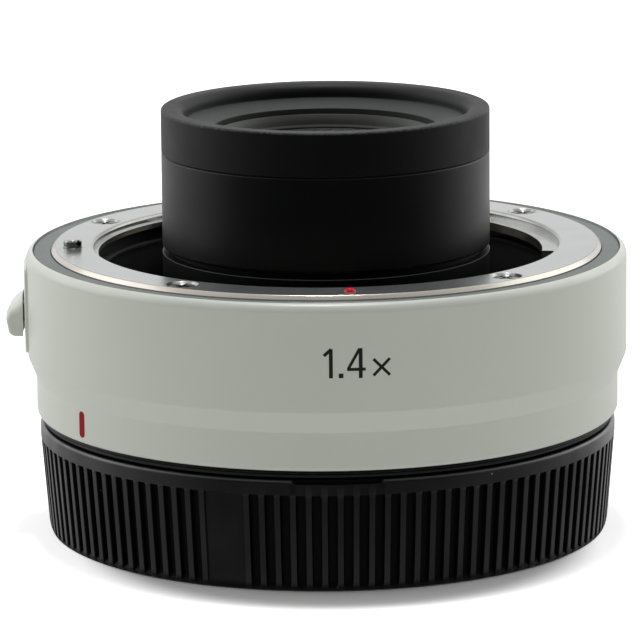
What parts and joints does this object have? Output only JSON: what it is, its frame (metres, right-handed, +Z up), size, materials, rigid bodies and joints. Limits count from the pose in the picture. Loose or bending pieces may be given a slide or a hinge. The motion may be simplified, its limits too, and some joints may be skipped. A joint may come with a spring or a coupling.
{
  "type": "camera teleconverter",
  "caption": "Short camera teleconverter: pale round barrel between two bayonet mounts, black lens tube standing out of the front, ribbed cap on the rear mount.",
  "frame": {"origin": "centre of the rear cap's underside, where the part stands, on the optical axis", "axes": "+Z up the optical axis towards the front mount and the lens tube; -Y towards the lens index dot; the release slider is near -X"},
  "size_m": [0.0737, 0.0712, 0.0503],
  "materials": {
    "white_paint": "satin warm white paint",
    "grey_trim": "satin grey",
    "bright_mount": "turned and plated bright metal",
    "steel": "plain steel",
    "black_steel": "blackened spring steel",
    "red_paint": "red paint fill",
    "black_metal": "satin black anodised",
    "black_plastic": "matte black",
    "cap_plastic": "satin black moulded plastic",
    "gold_contact": "gold plated",
    "coated_glass": "coated optical glass",
    "board_green": "green circuit board",
    "flex_amber": "amber film",
    "seal_rubber": "black rubber"
  },
  "bodies": {
    "housing": {"outer_barrel": "white_paint", "front_trim_ring": "grey_trim", "front_mount": "bright_mount", "front_mount_screws": "steel", "lens_index_dot": "red_paint", "barrel_index_mark": "red_paint", "slider_guide_plate": "white_paint", "chassis": "black_metal", "throat_baffle": "black_plastic", "bayonet_leaf_spring": "black_steel", "front_contact_block": "black_plastic", "contact_springs": "steel", "lens_tube": "black_metal", "front_ring": "black_metal", "front_lens_cell": "black_metal", "front_keeper_ring": "black_metal", "lens_element_1": "coated_glass", "lens_spacer": "black_metal", "lens_element_2": "coated_glass", "lens_element_3": "coated_glass", "mid_keeper_ring": "black_metal", "lens_element_4": "coated_glass", "lens_element_5": "coated_glass", "lens_element_6": "coated_glass", "lens_element_7": "coated_glass", "rear_lens_cell": "black_metal", "rear_keeper_ring": "black_metal", "cell_screws": "steel", "rear_light_baffle": "black_plastic", "circuit_board": "board_green", "board_chips": "black_plastic", "flex_cable": "flex_amber", "rear_mount": "bright_mount", "rear_mount_screws": "steel", "rear_trim_ring": "black_plastic", "rear_contact_block": "black_plastic", "rear_contact_pads": "gold_contact", "lock_spring": "steel", "lock_guide_post": "steel"},
    "lens_release": {"release_slider": "white_paint", "lock_slide_plate": "steel", "lens_lock_pin": "steel"},
    "spring_contacts": {"front_contact_pins": "gold_contact"},
    "seal_ring": {"rear_mount_seal": "seal_rubber"},
    "cap": {"rear_cap": "cap_plastic"}
  },
  "joints": [
    {"name": "lens_release_slide", "type": "slide", "parent": "housing", "child": "lens_release", "axis": [0, 0, -1], "range_m": [0, 0.0016], "stiffness_N_per_m": 400, "springref_m": -0.004, "deforming": ["lock_spring"]},
    {"name": "contact_press", "type": "slide", "parent": "housing", "child": "spring_contacts", "axis": [0, 0, -1], "range_m": [0, 0.0005], "stiffness_N_per_m": 1500, "springref_m": -0.001, "deforming": ["contact_springs"]},
    {"name": "cap_turn", "type": "hinge", "parent": "housing", "child": "seal_ring", "pos_m": [0, 0, 0], "axis": [0, 0, 1], "range_deg": [0, 35]},
    {"name": "cap_pull", "type": "slide", "parent": "seal_ring", "child": "cap", "axis": [0, 0, -1], "range_m": [0, 0.03]}
  ]
}
